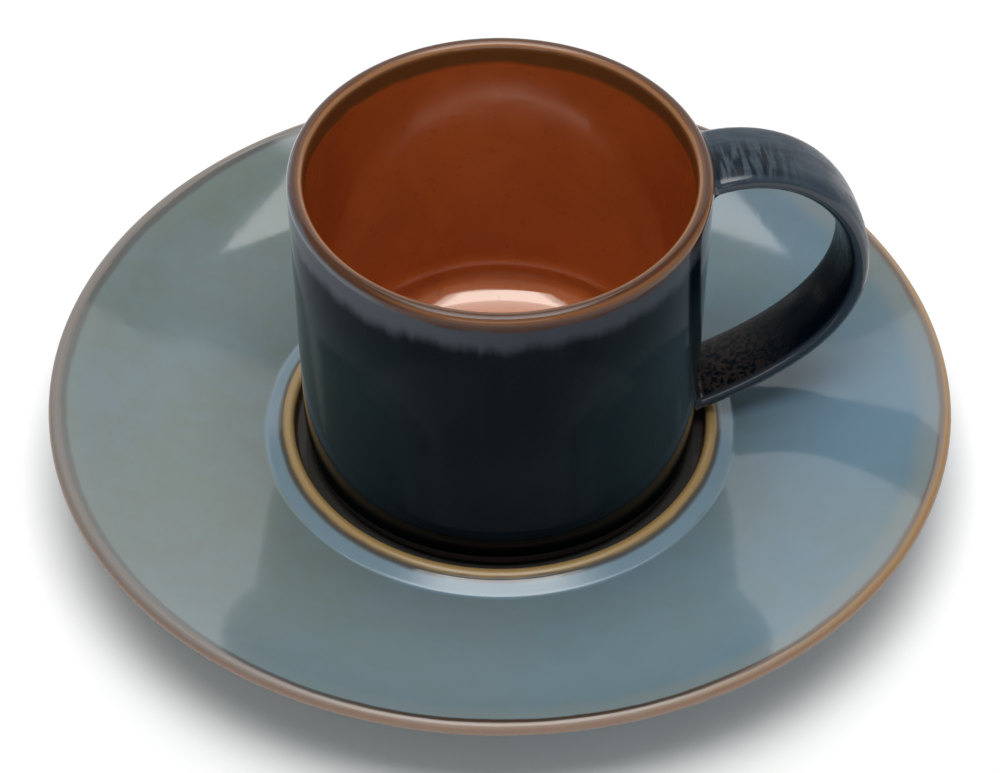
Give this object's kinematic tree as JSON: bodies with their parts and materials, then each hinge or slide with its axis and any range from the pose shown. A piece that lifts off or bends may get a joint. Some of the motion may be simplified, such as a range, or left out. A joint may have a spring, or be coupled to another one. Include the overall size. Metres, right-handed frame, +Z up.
{
  "type": "espresso cup and saucer",
  "caption": "Straight-sided glazed stoneware espresso cup with a strap handle, standing in the ringed well of a wide flat saucer; the cup lifts out of the saucer.",
  "frame": {"origin": "centre of the saucer's foot ring, on the surface that it stands on", "axes": "+Z up along the axis of cup and saucer, +X towards the handle, +Y across it"},
  "size_m": [0.135, 0.135, 0.0578],
  "materials": {
    "stoneware": "matte",
    "rust_glaze": "glossy",
    "navy_glaze": "glossy",
    "grey_blue_glaze": "glossy"
  },
  "bodies": {
    "saucer": {"saucer_body": "stoneware", "saucer_top_glaze": "grey_blue_glaze", "saucer_underside_glaze": "grey_blue_glaze", "saucer_recess_glaze": "grey_blue_glaze"},
    "cup": {"cup_body": "stoneware", "cup_handle": "stoneware", "cup_lining_glaze": "rust_glaze", "cup_outer_glaze": "navy_glaze", "handle_glaze": "navy_glaze", "cup_recess_glaze": "navy_glaze"}
  },
  "joints": [
    {"name": "cup_lift", "type": "slide", "parent": "saucer", "child": "cup", "axis": [0, 0, 1], "range_m": [0, 0.08]}
  ]
}
